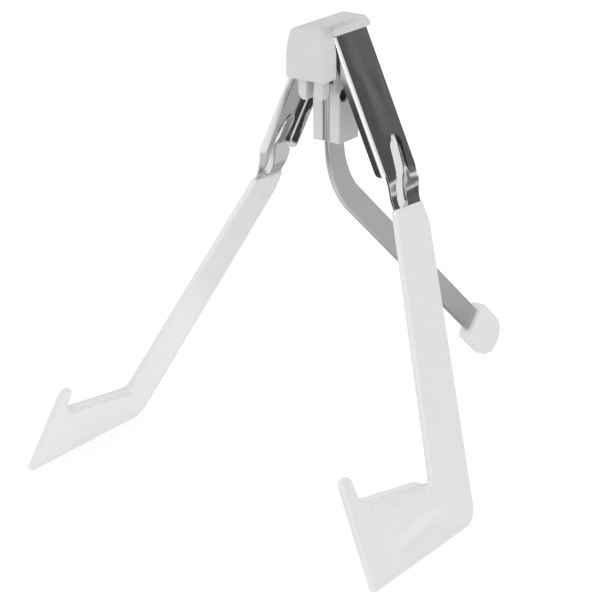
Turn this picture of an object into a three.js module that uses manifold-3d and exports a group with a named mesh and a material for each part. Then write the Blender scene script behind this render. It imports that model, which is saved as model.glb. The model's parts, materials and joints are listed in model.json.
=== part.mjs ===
// Folding A-frame guitar stand: two splayed front legs with coated feet, one
// bent rear leg with a rubber boot, and a plastic head that holds all three.
// Millimetres, +Z up, front of the stand towards -Y, left and right along X.

import * as THREE from 'three';
import { mergeVertices } from 'three/addons/utils/BufferGeometryUtils.js';
import Module from 'manifold-3d';

const wasm = await Module();
wasm.setup();

// ---------------------------------------------------------------- dimensions

const GAP = 0.3;                    // clearance between pieces that touch

// Stance
const SPLAY = THREE.MathUtils.degToRad(24.7);   // each front leg from upright
const HALF_TRACK = 141;             // outer face of a foot at the floor

// Front leg sheet steel; leg frame: x outwards, y back, z up along the leg
const STEEL = 1.8;
const COAT = 0.9;                   // coating wall
const FOOT_THICK = STEEL + 2 * (COAT + GAP);
const CHANNEL_FRONT = -2.6;
const CHANNEL_BACK = 34.6;
const CHANNEL_BOTTOM = 222;
const CHANNEL_TOP = 315.5;
const CHANNEL_OUT = 2.6;            // channel stands this far outside the foot
const FLANGE_DEPTH = 6.8;
const CORNER = 2.5;
const NECK_BOTTOM = 204;
const NECK_FRONT = 1.2;
const NECK_BACK = 29.3;
const RIB_HEIGHT = 1.4;
const RIB_WIDTH = 8;
const RIB_TOP = 243;

// Front leg hinge pins, along Y
const PIN_RADIUS = 1.6;
const PIN_DEPTH = 5.8;              // axis to the channel's outer face
const PIN_FROM_TOP = 6;
const LUG_RADIUS = 3.6;
const PIN_HEAD_RADIUS = 3;
const WASHER_THICK = 0.6;
const WASHER_RADIUS = 3.4;

// Coated foot, outline in (forward, up along the leg)
const MOUTH_FRONT = 200.4;
const MOUTH_BACK = 198.6;
const STRIP_BACK = -30.5;
const BEND_BACK = 184;
const HEEL = 29.5;
const TOE = 142.5;
const HOOK_FRONT = 137;
const HOOK_BACK = 127.2;
const HOOK_TOP = 70.5;
const LEDGE_FRONT = [125.6, 51];
const LEDGE_BACK = [57.5, 38];
const SOLE_CLEAR = 2.1;             // extra coating under the steel
const LIP_HEIGHT = 5.2;
const LIP_OUT = 6.2;                // lip stands this far inside the foot
const LIP_LEAN = 0.36;              // rise of the lip's top for each mm inwards
const LIP_FOLD = 2;                 // depth inside the foot where that rise starts

// Rear leg flat bar, outline in (back, up)
const BAR_THICK = 3.8;
const BAR_FRONT = 4.7;
const BAR_BACK = 22.3;
const BAR_TOP = 256;
const BEND_START = 217;
const BEND_INNER_RADIUS = 55;
const BEND_ANGLE = THREE.MathUtils.degToRad(48.3);
const BAR_END = 155;                // along the sloping part
const BOOT_MOUTH = 119.2;
const BOOT_WALL = 6;
const BOOT_HALF_WIDTH = 5.6;
const BOOT_RADIUS = 12;             // corner that stands on the floor
const BOOT_BACK_RADIUS = 14;
const BOOT_MOUTH_RADIUS = 3.2;
const BOOT_SQUASH = 1.8;            // depth of the flat worn on that corner

// Rear leg pivot bolt, along X
const BOLT_Y = 9.5;
const BOLT_Z = 247.4;
const BOLT_RADIUS = 2;
const BOLT_HEAD_RADIUS = 4;
const RECESS_RADIUS = 4.6;
const RECESS_DEPTH = 3;
const SPACER_THICK = 0.5;

// Hinge block
const CHEEK_HALF = 10.6;
const CHEEK_FRONT = 4.5;
const CHEEK_BACK = 26.5;
const CHEEK_BOTTOM = 216;
const CHEEK_STEP = 250;             // the cheeks stand further forward above this
const WINDOW_INNER = 4.6;
const WINDOW_OUTER = 8.8;
const WINDOW_BOTTOM = 256;
const WINDOW_DEPTH = 4;
const SLOT_HALF = 2.8;
const BLOCK_HALF = 12.3;
const BLOCK_FRONT = 0.2;
const BLOCK_BACK = 31.8;
const BLOCK_BOTTOM = 261;
const BLOCK_TOP = 286.4;
const PRONG_INNER = 3.1;
const PRONG_OUTER = 9.3;
const PRONG_FRONT = -12.3;
const PRONG_BACK = -5;
const PRONG_BOTTOM = 247;

// Cap
const CAP_HALF = 14.6;
const CAP_FRONT = -20;
const CAP_SKIRT_BACK = -4.2;
const CAP_BACK = 35.7;
const CAP_BOTTOM = 261.2;
const CAP_SHOULDER = 280.5;
const CAP_TOP = 294.2;
const CAP_TOP_HALF = 10.8;
const ROOF_HALF = 13.2;
const ROOF_BOTTOM = 288;
const CAP_WALL = 2.2;

// ----------------------------------------------------------------- materials

const finish = (color, roughness, metalness) =>
  new THREE.MeshStandardMaterial({ color, roughness, metalness });
const whitePlastic = finish(0xe6e6e4, 0.55, 0);
const whiteVinyl = finish(0xededec, 0.3, 0);
const whiteRubber = finish(0xdededc, 0.7, 0);
const chrome = finish(0xc4c6c8, 0.12, 1);
const satinSteel = finish(0xb4b6b7, 0.35, 1);
const blackSteel = finish(0x2a2a2c, 0.4, 1);
const nylon = finish(0xd6d6d2, 0.5, 0);

// ------------------------------------------------------------------- helpers

// Closed shape from [x, y, corner radius] points, its corners made arcs.
function roundedShape(corners) {
  const shape = new THREE.Shape();
  const count = corners.length;
  corners.forEach(([x, y, radius = 0], i) => {
    const corner = new THREE.Vector2(x, y);
    const before = new THREE.Vector2(...corners[(i + count - 1) % count]).sub(corner).normalize();
    const after = new THREE.Vector2(...corners[(i + 1) % count]).sub(corner).normalize();
    const half = Math.acos(THREE.MathUtils.clamp(before.dot(after), -1, 1)) / 2;
    if (radius === 0 || half > Math.PI / 2 - 0.01) {
      if (i === 0) shape.moveTo(x, y);
      else shape.lineTo(x, y);
      return;
    }
    const reach = radius / Math.tan(half);
    const start = before.clone().multiplyScalar(reach).add(corner);
    const end = after.clone().multiplyScalar(reach).add(corner);
    const centre = before.clone().add(after).normalize().multiplyScalar(radius / Math.sin(half)).add(corner);
    const from = start.clone().sub(centre).angle();
    const to = end.clone().sub(centre).angle();
    if (i === 0) shape.moveTo(start.x, start.y);
    else shape.lineTo(start.x, start.y);
    shape.absarc(centre.x, centre.y, radius, from, to, before.cross(after) > 0);
  });
  shape.closePath();
  return shape;
}

// The same corners moved inwards, edge by edge; corner i starts edge i.
function insetCorners(corners, distances) {
  const count = corners.length;
  const edge = (i) => {
    const a = new THREE.Vector2(...corners[i]);
    const along = new THREE.Vector2(...corners[(i + 1) % count]).sub(a).normalize();
    const inwards = new THREE.Vector2(-along.y, along.x);
    return { point: inwards.clone().multiplyScalar(distances[i]).add(a), along };
  };
  return corners.map(([, , radius = 0], i) => {
    const one = edge((i + count - 1) % count);
    const two = edge(i);
    const turn = one.along.cross(two.along);
    const t = two.point.clone().sub(one.point).cross(two.along) / turn;
    const point = one.along.clone().multiplyScalar(t).add(one.point);
    const moved = radius - Math.sign(turn) * distances[i];
    return [point.x, point.y, radius === 0 ? 0 : Math.max(moved, 0.4)];
  });
}

function solid(geometry) {
  const plain = geometry.clone();
  plain.deleteAttribute('normal');
  plain.deleteAttribute('uv');
  const merged = mergeVertices(plain, 1e-4);
  return new wasm.Manifold(new wasm.Mesh({
    numProp: 3,
    vertProperties: Float32Array.from(merged.attributes.position.array),
    triVerts: Uint32Array.from(merged.index.array),
  }));
}

function prism(shape, depth, curveSegments = 3) {
  return new THREE.ExtrudeGeometry(shape, { depth, bevelEnabled: false, curveSegments });
}

function place(geometry, xAxis, yAxis, zAxis, origin) {
  const matrix = new THREE.Matrix4().makeBasis(
    new THREE.Vector3(...xAxis), new THREE.Vector3(...yAxis), new THREE.Vector3(...zAxis));
  return geometry.applyMatrix4(matrix.setPosition(...origin));
}

// Outline in (forward, up), thickness from outer face x0 inwards.
const sidePlate = (shape, x0, thickness) =>
  solid(place(prism(shape, thickness), [0, -1, 0], [0, 0, 1], [-1, 0, 0], [x0, 0, 0]));

// Outline in (x, z), running back from y0.
const frontPrism = (shape, y0, length) =>
  solid(place(prism(shape, length), [-1, 0, 0], [0, 0, 1], [0, 1, 0], [0, y0, 0]));

// Outline in (back, up), running from x0 to x0 + width.
const crossPrism = (shape, x0, width) =>
  solid(place(prism(shape, width, 8), [0, 1, 0], [0, 0, 1], [1, 0, 0], [x0, 0, 0]));

function box(x0, x1, y0, y1, z0, z1) {
  const geometry = new THREE.BoxGeometry(x1 - x0, y1 - y0, z1 - z0);
  return solid(geometry.translate((x0 + x1) / 2, (y0 + y1) / 2, (z0 + z1) / 2));
}

// Round bar along Y or X between two stations.
function rod(axis, radius, from, to, at, segments = 20) {
  const geometry = new THREE.CylinderGeometry(radius, radius, to - from, segments);
  geometry.translate(0, (from + to) / 2, 0);
  if (axis === 'x') geometry.rotateZ(-Math.PI / 2);
  return solid(geometry.translate(...at));
}

const mirrored = (corners) => corners.map(([x, y, r]) => [-x, y, r]).reverse();
const unite = (first, ...rest) => rest.reduce((sum, piece) => sum.add(piece), first);

function finished(name, body, material) {
  const { vertProperties, triVerts } = body.getMesh();
  const geometry = new THREE.BufferGeometry();
  geometry.setAttribute('position', new THREE.BufferAttribute(Float32Array.from(vertProperties), 3));
  geometry.setIndex(new THREE.BufferAttribute(Uint32Array.from(triVerts), 1));
  geometry.computeVertexNormals();
  const mesh = new THREE.Mesh(geometry, material);
  mesh.name = name;
  return mesh;
}

// A right-hand piece as its left-hand twin.
function leftHand(mesh, name) {
  const geometry = mesh.geometry.clone().scale(-1, 1, 1);
  const index = geometry.index.array;
  for (let i = 0; i < index.length; i += 3) [index[i], index[i + 1]] = [index[i + 1], index[i]];
  geometry.computeVertexNormals();
  const twin = new THREE.Mesh(geometry, mesh.material);
  twin.name = name;
  return twin;
}

// ---------------------------------------------------------- leg frame in head

const pinAlong = CHANNEL_TOP - PIN_FROM_TOP;
const pinAcross = CHANNEL_OUT - PIN_DEPTH;
const legMatrix = new THREE.Matrix4().makeRotationY(-SPLAY).setPosition(HALF_TRACK, 0, 0);
const pinPoint = new THREE.Vector3(pinAcross, 0, pinAlong).applyMatrix4(legMatrix);

// ----------------------------------------------------------- front leg, steel

const footCorners = [
  [0, MOUTH_FRONT],
  [STRIP_BACK, MOUTH_BACK],
  [STRIP_BACK, BEND_BACK, 20],
  [HEEL, 0, 14],
  [TOE, 0, 3.5],
  [HOOK_FRONT, HOOK_TOP, 5],
  [HOOK_BACK, HOOK_TOP - 1, 4.4],
  [...LEDGE_FRONT, 1.5],
  [...LEDGE_BACK, 2.5],
];
const SOLE_EDGE = 3;

function footOutline(distance) {
  if (distance === 0) return roundedShape(footCorners);
  const distances = footCorners.map((_, i) => (i === SOLE_EDGE ? distance + SOLE_CLEAR : distance));
  return roundedShape(insetCorners(footCorners, distances));
}

// Lip along the ledge, in the foot's plane; its top edge is the ledge.
function lipOutline(distance) {
  const along = new THREE.Vector2(...LEDGE_FRONT).sub(new THREE.Vector2(...LEDGE_BACK));
  const length = along.length();
  along.normalize();
  const point = (a, down) => [
    LEDGE_BACK[0] + along.x * a + along.y * down,
    LEDGE_BACK[1] + along.y * a - along.x * down,
    LIP_HEIGHT / 2 - distance - 0.01,
  ];
  const near = 4 + distance;
  const far = length - 5 - distance;
  return roundedShape([
    point(near, LIP_HEIGHT - distance), point(far, LIP_HEIGHT - distance), point(far, distance), point(near, distance),
  ]);
}

// The lip is bent past square, so that its top comes nearer to level.
function lipPlate(distance, from, thickness) {
  const along = new THREE.Vector2(...LEDGE_FRONT).sub(new THREE.Vector2(...LEDGE_BACK)).normalize();
  const y = LIP_LEAN * along.y;
  const z = LIP_LEAN * along.x;
  const lean = new THREE.Matrix4().set(
    1, 0, 0, 0,
    -y, 1, 0, -y * LIP_FOLD,
    -z, 0, 1, -z * LIP_FOLD,
    0, 0, 0, 1,
  );
  return sidePlate(lipOutline(distance), from, thickness).transform(lean.elements);
}

// Sheet that follows the neck's step, in (x, z); shifted outwards by out.
function neckSheet(out, thickness, y0, y1, top, bottom) {
  const outer = CHANNEL_OUT + out;
  const inner = -(COAT + GAP) + out;
  const corners = [
    [outer, top], [outer, CHANNEL_BOTTOM + 0.8, 4], [inner, NECK_BOTTOM + 1, 4], [inner, bottom],
    [inner - thickness, bottom], [inner - thickness, NECK_BOTTOM, 4],
    [outer - thickness, CHANNEL_BOTTOM - 0.2, 4], [outer - thickness, top],
  ];
  const shape = roundedShape(corners.map(([x, z, r]) => [-x, z, r]));
  return frontPrism(shape, y0, y1 - y0);
}

function channel() {
  const reach = pinAcross - LUG_RADIUS;
  const profile = roundedShape([
    [reach, CHANNEL_FRONT], [CHANNEL_OUT, CHANNEL_FRONT, CORNER],
    [CHANNEL_OUT, CHANNEL_BACK, CORNER], [reach, CHANNEL_BACK],
    [reach, CHANNEL_BACK - STEEL], [CHANNEL_OUT - STEEL, CHANNEL_BACK - STEEL, CORNER - STEEL],
    [CHANNEL_OUT - STEEL, CHANNEL_FRONT + STEEL, CORNER - STEEL], [reach, CHANNEL_FRONT + STEEL],
  ]);
  const length = CHANNEL_TOP - CHANNEL_BOTTOM;
  const bent = solid(prism(profile, length).translate(0, 0, CHANNEL_BOTTOM));
  const edge = CHANNEL_OUT - FLANGE_DEPTH;
  const side = roundedShape([
    [CHANNEL_OUT + 1, CHANNEL_BOTTOM - 1], [edge, CHANNEL_BOTTOM - 1, 4], [edge, pinAlong - 10, 4],
    [reach, pinAlong - 6, 3], [reach, CHANNEL_TOP + 0.2, LUG_RADIUS], [CHANNEL_OUT + 1, CHANNEL_TOP + 0.2],
  ].map(([x, z, r]) => [-x, z, r]));
  return bent.intersect(frontPrism(side, CHANNEL_FRONT - 1, CHANNEL_BACK - CHANNEL_FRONT + 2));
}

const middle = (NECK_FRONT + NECK_BACK) / 2;
const ribBottom = MOUTH_FRONT + 1;
const floorBlock = solid(new THREE.BoxGeometry(500, 600, 100)
  .translate(0, 0, -50).applyMatrix4(legMatrix.clone().invert()));
const pinBore = rod('y', PIN_RADIUS + GAP, CHANNEL_FRONT - 3, CHANNEL_BACK + 3, [pinAcross, 0, pinAlong]);

function legSteel() {
  const ribHalf = RIB_WIDTH / 2;
  const rib = neckSheet(RIB_HEIGHT, STEEL, middle - ribHalf, middle + ribHalf, RIB_TOP, ribBottom);
  const groove = neckSheet(RIB_HEIGHT - STEEL, RIB_HEIGHT + 0.2, middle - ribHalf + STEEL,
    middle + ribHalf - STEEL, RIB_TOP - STEEL, ribBottom + STEEL);
  return unite(
    channel(),
    neckSheet(0, STEEL, NECK_FRONT, NECK_BACK, CHANNEL_BOTTOM + 8, 190),
    sidePlate(footOutline(COAT + GAP), -(COAT + GAP), STEEL),
    lipPlate(COAT + GAP, -(COAT + GAP) - 0.5, FOOT_THICK + LIP_OUT - 2 * (COAT + GAP) - 0.5),
    rib,
  ).subtract(groove).subtract(pinBore);
}

// ------------------------------------------------------- front leg, coating

function legCoating() {
  const pocket = unite(
    sidePlate(footOutline(COAT), -COAT, FOOT_THICK - 2 * COAT),
    lipPlate(COAT, -COAT - 0.5, FOOT_THICK + LIP_OUT - 2 * COAT - 0.5),
    box(-FOOT_THICK + COAT, -COAT, NECK_FRONT - GAP, NECK_BACK + GAP, 188, MOUTH_FRONT + 5),
  );
  return sidePlate(footOutline(0), 0, FOOT_THICK)
    .add(lipPlate(0, -1, FOOT_THICK + LIP_OUT - 1))
    .subtract(pocket)
    .subtract(floorBlock);
}

// ------------------------------------------------------------------ rear leg

const slope = new THREE.Vector2(Math.sin(BEND_ANGLE), -Math.cos(BEND_ANGLE));
const across = new THREE.Vector2(Math.cos(BEND_ANGLE), Math.sin(BEND_ANGLE));
const bendCentre = new THREE.Vector2(BAR_BACK + BEND_INNER_RADIUS, BEND_START);
const bendOuterRadius = BEND_INNER_RADIUS + BAR_BACK - BAR_FRONT;
const upperEdge = bendCentre.dot(across) - BEND_INNER_RADIUS;
const lowerEdge = bendCentre.dot(across) - bendOuterRadius;
const onSlope = (along, offset) => [
  slope.x * along + across.x * offset, slope.y * along + across.y * offset,
];

function rearLeg() {
  const shape = new THREE.Shape();
  const sweep = BAR_BACK - BOLT_Y;
  const top = Math.asin((BAR_TOP - BOLT_Z) / sweep);
  shape.moveTo(BAR_FRONT, BAR_TOP);
  shape.lineTo(BAR_FRONT, BEND_START);
  shape.absarc(bendCentre.x, bendCentre.y, bendOuterRadius, Math.PI, Math.PI + BEND_ANGLE, false);
  shape.lineTo(...onSlope(BAR_END, lowerEdge));
  shape.lineTo(...onSlope(BAR_END, upperEdge));
  shape.absarc(bendCentre.x, bendCentre.y, BEND_INNER_RADIUS, Math.PI + BEND_ANGLE, Math.PI, true);
  shape.absarc(BOLT_Y, BOLT_Z, sweep, 0, top, false);
  shape.closePath();
  return crossPrism(shape, -BAR_THICK / 2, BAR_THICK)
    .subtract(rod('x', BOLT_RADIUS + GAP, -5, 5, [0, BOLT_Y, BOLT_Z]));
}

function boot() {
  const low = lowerEdge - BOOT_WALL;
  const high = upperEdge + BOOT_WALL;
  const footing = across.y * (low + BOOT_RADIUS) - (BOOT_RADIUS - BOOT_SQUASH);
  const end = footing / -slope.y + BOOT_RADIUS;
  const corner = (along, offset, radius) => [...onSlope(along, offset), radius];
  const outside = roundedShape([
    corner(BOOT_MOUTH, low, BOOT_MOUTH_RADIUS), corner(end, low, BOOT_RADIUS),
    corner(end, high, BOOT_BACK_RADIUS), corner(BOOT_MOUTH, high, BOOT_MOUTH_RADIUS),
  ]);
  const inside = roundedShape([
    corner(BOOT_MOUTH - 5, lowerEdge - GAP), corner(BAR_END + GAP, lowerEdge - GAP),
    corner(BAR_END + GAP, upperEdge + GAP), corner(BOOT_MOUTH - 5, upperEdge + GAP),
  ]);
  return crossPrism(outside, -BOOT_HALF_WIDTH, 2 * BOOT_HALF_WIDTH)
    .subtract(crossPrism(inside, -BAR_THICK / 2 - GAP, BAR_THICK + 2 * GAP))
    .subtract(box(-20, 20, 100, 300, -50, 0));
}

// ---------------------------------------------------------------- hinge block

function hingeBlock() {
  const upper = [
    [BLOCK_HALF, BLOCK_BOTTOM, 1], [BLOCK_HALF, BLOCK_TOP - 5.8, 1], [9.6, BLOCK_TOP, 1],
    [-9.6, BLOCK_TOP, 1], [-BLOCK_HALF, BLOCK_TOP - 5.8, 1], [-BLOCK_HALF, BLOCK_BOTTOM, 1],
  ];
  const cheeks = roundedShape([
    [-CHEEK_HALF, CHEEK_FRONT, 1], [CHEEK_HALF, CHEEK_FRONT, 1],
    [CHEEK_HALF, CHEEK_BACK, 1.5], [-CHEEK_HALF, CHEEK_BACK, 1.5],
  ]);
  const prong = roundedShape([
    [PRONG_INNER, PRONG_BOTTOM, 0.5], [PRONG_OUTER - 3, PRONG_BOTTOM, 0.5], [PRONG_OUTER, PRONG_BOTTOM + 3, 0.5],
    [PRONG_OUTER, BLOCK_TOP - 1, 0.5], [PRONG_INNER, BLOCK_TOP - 1, 0.5],
  ]);
  const twin = roundedShape([
    [-PRONG_INNER, PRONG_BOTTOM, 0.5], [-PRONG_INNER, BLOCK_TOP - 1, 0.5],
    [-PRONG_OUTER, BLOCK_TOP - 1, 0.5], [-PRONG_OUTER, PRONG_BOTTOM + 3, 0.5], [-PRONG_OUTER + 3, PRONG_BOTTOM, 0.5],
  ]);
  const prongDepth = PRONG_BACK - PRONG_FRONT;
  const bore = PIN_RADIUS + GAP;
  const side = CHEEK_HALF - RECESS_DEPTH;
  const window = (x0, x1) =>
    box(x0, x1, BLOCK_FRONT - 1, BLOCK_FRONT + WINDOW_DEPTH, WINDOW_BOTTOM, BLOCK_BOTTOM + 0.5);
  return unite(
    frontPrism(roundedShape(upper), BLOCK_FRONT, BLOCK_BACK - BLOCK_FRONT),
    solid(prism(cheeks, BLOCK_BOTTOM + 1 - CHEEK_BOTTOM).translate(0, 0, CHEEK_BOTTOM)),
    box(-CHEEK_HALF, CHEEK_HALF, BLOCK_FRONT, CHEEK_FRONT + 4, CHEEK_STEP, BLOCK_BOTTOM + 1),
    frontPrism(prong, PRONG_FRONT, prongDepth),
    frontPrism(twin, PRONG_FRONT, prongDepth),
    box(-PRONG_OUTER + 0.5, PRONG_OUTER - 0.5, PRONG_FRONT + 2, PRONG_BACK, BLOCK_BOTTOM + 3, BLOCK_TOP - 1),
    box(-3.7, 3.7, PRONG_BACK - 1, BLOCK_FRONT + 1, BLOCK_BOTTOM + 3, BLOCK_TOP - 1),
  )
    .subtract(box(-SLOT_HALF, SLOT_HALF, BLOCK_FRONT - 1, BAR_BACK + GAP, CHEEK_BOTTOM - 1, BAR_TOP + 3))
    .subtract(window(WINDOW_INNER, WINDOW_OUTER))
    .subtract(window(-WINDOW_OUTER, -WINDOW_INNER))
    .subtract(rod('y', bore, -30, 60, [pinPoint.x, 0, pinPoint.z]))
    .subtract(rod('y', bore, -30, 60, [-pinPoint.x, 0, pinPoint.z]))
    .subtract(rod('x', BOLT_RADIUS + GAP, -20, 20, [0, BOLT_Y, BOLT_Z]))
    .subtract(rod('x', RECESS_RADIUS, side, 20, [0, BOLT_Y, BOLT_Z]))
    .subtract(rod('x', RECESS_RADIUS, -20, -side, [0, BOLT_Y, BOLT_Z]));
}

// ------------------------------------------------------------------------ cap

function cap() {
  const skirt = [
    [-CAP_HALF, CAP_BOTTOM, 1], [-CAP_HALF, CAP_SHOULDER, 6], [-CAP_TOP_HALF, CAP_TOP, 3],
    [CAP_TOP_HALF, CAP_TOP, 3], [CAP_HALF, CAP_SHOULDER, 6], [CAP_HALF, CAP_BOTTOM, 1],
  ];
  const roof = [
    [-ROOF_HALF, ROOF_BOTTOM, 0.8], [-CAP_TOP_HALF, CAP_TOP, 2.5],
    [CAP_TOP_HALF, CAP_TOP, 2.5], [ROOF_HALF, ROOF_BOTTOM, 0.8],
  ];
  const hollowHalf = CAP_HALF - CAP_WALL;
  const hollow = [
    [-hollowHalf, CAP_BOTTOM - 2], [-hollowHalf, CAP_SHOULDER - 1, 4], [-CAP_TOP_HALF, BLOCK_TOP + 0.4],
    [CAP_TOP_HALF, BLOCK_TOP + 0.4], [hollowHalf, CAP_SHOULDER - 1, 4], [hollowHalf, CAP_BOTTOM - 2],
  ];
  return unite(
    frontPrism(roundedShape(skirt), CAP_FRONT, CAP_SKIRT_BACK - CAP_FRONT),
    frontPrism(roundedShape(roof), CAP_SKIRT_BACK - 2, CAP_BACK - CAP_SKIRT_BACK + 2),
    box(-7, 7, 4, 28, BLOCK_TOP + GAP, ROOF_BOTTOM + 1),
  ).subtract(frontPrism(roundedShape(hollow), CAP_FRONT + CAP_WALL, CAP_SKIRT_BACK - CAP_FRONT - CAP_WALL + 1));
}

// ------------------------------------------------------------------ fasteners

const ring = (axis, outer, inner, from, to, at, segments) =>
  rod(axis, outer, from, to, at, segments).subtract(rod(axis, inner, from - 1, to + 1, at, 20));

const pinAt = [pinPoint.x, 0, pinPoint.z];
const boltAt = [0, BOLT_Y, BOLT_Z];
const pinBackEnd = CHANNEL_BACK + 1.8;
const hingePin = unite(
  rod('y', PIN_RADIUS, CHANNEL_FRONT - GAP - 0.1, pinBackEnd, pinAt),
  rod('y', PIN_HEAD_RADIUS, CHANNEL_FRONT - GAP - 1.6, CHANNEL_FRONT - GAP, pinAt, 24),
);
const frontWasher = ring('y', WASHER_RADIUS, PIN_RADIUS + 0.2, BLOCK_FRONT - 0.2 - WASHER_THICK,
  BLOCK_FRONT - 0.2, pinAt, 24);
const backWasher = ring('y', WASHER_RADIUS, PIN_RADIUS + 0.2, BLOCK_BACK + 0.2,
  BLOCK_BACK + 0.2 + WASHER_THICK, pinAt, 24);
const pinClip = ring('y', 3.3, PIN_RADIUS + 0.1, CHANNEL_BACK + GAP, CHANNEL_BACK + GAP + 0.8, pinAt, 24);

const boltSeat = CHEEK_HALF - RECESS_DEPTH + GAP;
const bolt = unite(
  rod('x', BOLT_RADIUS, -CHEEK_HALF + 0.8, boltSeat + 0.5, boltAt),
  rod('x', BOLT_HEAD_RADIUS, boltSeat, boltSeat + 2.2, boltAt, 24),
).subtract(rod('x', 1.5, boltSeat + 1, boltSeat + 4, boltAt, 6));
const nut = ring('x', BOLT_HEAD_RADIUS, BOLT_RADIUS + 0.2, -boltSeat - 2.4, -boltSeat, boltAt, 6);
const spacerFrom = BAR_THICK / 2 + 0.2;
const spacer = ring('x', 4.2, BOLT_RADIUS + 0.2, spacerFrom, spacerFrom + SPACER_THICK, boltAt, 24);

// ------------------------------------------------------------------- assembly

const stand = new THREE.Group();

const rightLeg = new THREE.Group();
rightLeg.applyMatrix4(legMatrix);
const leftLeg = new THREE.Group();
leftLeg.position.set(-HALF_TRACK, 0, 0);
leftLeg.rotation.y = SPLAY;
const rightSteel = finished('front_leg_right', legSteel(), chrome);
const rightCoating = finished('foot_coating_right', legCoating(), whiteVinyl);
rightLeg.add(rightSteel, rightCoating);
leftLeg.add(leftHand(rightSteel, 'front_leg_left'), leftHand(rightCoating, 'foot_coating_left'));
stand.add(rightLeg, leftLeg);

stand.add(finished('head_cap', cap(), whitePlastic));
stand.add(finished('hinge_block', hingeBlock(), whitePlastic));
stand.add(finished('rear_leg', rearLeg(), satinSteel));
stand.add(finished('rear_foot_boot', boot(), whiteRubber));
stand.add(finished('rear_pivot_bolt', bolt, blackSteel));
stand.add(finished('rear_pivot_nut', nut, blackSteel));

const pairs = [
  ['hinge_pin', hingePin, satinSteel],
  ['front_hinge_washer', frontWasher, nylon],
  ['back_hinge_washer', backWasher, nylon],
  ['hinge_pin_clip', pinClip, satinSteel],
  ['rear_pivot_spacer', spacer, nylon],
];
for (const [name, body, material] of pairs) {
  const right = finished(`${name}_right`, body, material);
  stand.add(right, leftHand(right, `${name}_left`));
}

// Origin on the floor, in the middle of the stand's footprint.
const extent = new THREE.Box3().setFromObject(stand, true);
const centre = extent.getCenter(new THREE.Vector3());
stand.position.set(0, -centre.y, -extent.min.z);

export default stand;
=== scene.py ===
"""Folding A-frame guitar stand: plated sheet-steel front legs with dipped vinyl feet, a bent
flat-bar rear leg with a rubber boot, and a moulded plastic head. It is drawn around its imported
frame, in metres, +Z up, front towards -Y."""

import json
import math

import bmesh
import bpy
from bmesh.types import BMEdge, BMFace, BMVert
from mathutils import Matrix, Vector


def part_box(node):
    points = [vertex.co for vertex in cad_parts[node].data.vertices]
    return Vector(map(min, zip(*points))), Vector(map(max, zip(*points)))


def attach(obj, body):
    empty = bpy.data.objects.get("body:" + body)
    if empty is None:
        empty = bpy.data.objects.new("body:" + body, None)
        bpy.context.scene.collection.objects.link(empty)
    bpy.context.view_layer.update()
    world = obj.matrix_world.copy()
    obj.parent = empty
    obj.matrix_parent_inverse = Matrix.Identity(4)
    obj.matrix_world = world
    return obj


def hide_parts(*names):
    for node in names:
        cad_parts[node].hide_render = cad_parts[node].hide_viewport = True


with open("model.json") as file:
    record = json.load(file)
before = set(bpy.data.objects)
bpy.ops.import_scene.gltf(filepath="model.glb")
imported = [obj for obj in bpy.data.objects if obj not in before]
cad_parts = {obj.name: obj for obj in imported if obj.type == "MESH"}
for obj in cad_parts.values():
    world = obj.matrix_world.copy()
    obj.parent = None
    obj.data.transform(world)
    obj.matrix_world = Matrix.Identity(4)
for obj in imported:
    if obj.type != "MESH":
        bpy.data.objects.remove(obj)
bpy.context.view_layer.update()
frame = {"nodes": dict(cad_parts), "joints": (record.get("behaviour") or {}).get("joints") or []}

scene = bpy.context.scene
scene.view_settings.view_transform = "Standard"

# ------------------------------------------------------------------ camera
# A long lens, a little above the stand and well to its right, level but for
# a hair of roll.
TURN = math.radians(36.544)
DROP = math.radians(21.5)
ROLL = math.radians(-0.374)
CAMERA_AT = Vector((0.71907, -1.03653, 0.59151))
camera_data = bpy.data.cameras.new("camera")
camera_data.sensor_width = 36
camera_data.lens = 119.85
camera_data.shift_x = 0.0011
camera_data.shift_y = 0.0007
camera = bpy.data.objects.new("camera", camera_data)
camera.matrix_world = (
    Matrix.Translation(CAMERA_AT)
    @ Matrix.Rotation(TURN, 4, "Z")
    @ Matrix.Rotation(math.pi / 2 - DROP, 4, "X")
    @ Matrix.Rotation(ROLL, 4, "Z")
)
scene.collection.objects.link(camera)
scene.camera = camera

# ------------------------------------------------------------------ studio
# A white table under an even white tent, one soft window light from the
# front left, and cards, most of them dark, that only reflections see.
TABLE_SIDE = 30
WINDOW_AT = Vector((-0.9, -1.5, 1.5))
WINDOW_AIM = Vector((0, 0, 0.12))


def stage_card(name, centre, facing, width, height, material):
    """A flat card of the studio, not part of the stand."""
    card = bmesh.new()
    bmesh.ops.create_grid(card, x_segments=1, y_segments=1, size=0.5)
    bmesh.ops.scale(card, vec=(width, height, 1), verts=card.verts)
    turn = Vector(facing).to_track_quat("Z", "Y").to_matrix().to_4x4()
    bmesh.ops.transform(card, matrix=Matrix.Translation(centre) @ turn, verts=card.verts)
    data = bpy.data.meshes.new(name)
    card.to_mesh(data)
    card.free()
    made = bpy.data.objects.new(name, data)
    scene.collection.objects.link(made)
    data.materials.append(material)
    return made


def new_finish(name):
    """A new material with its nodes, its links and its main shader."""
    material = bpy.data.materials.new(name)
    material.use_nodes = True
    nodes, links = material.node_tree.nodes, material.node_tree.links
    return material, nodes, links, nodes["Principled BSDF"]


def table_white():
    """Matt white that glows a little, so that the table has no edge against the tent."""
    material, _, _, shader = new_finish("table_white")
    shader.inputs["Base Color"].default_value = (0.40, 0.40, 0.40, 1)
    shader.inputs["Roughness"].default_value = 0.9
    shader.inputs["Specular IOR Level"].default_value = 0.0
    shader.inputs["Emission Color"].default_value = (1, 1, 1, 1)
    shader.inputs["Emission Strength"].default_value = 0.67
    return material


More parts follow.
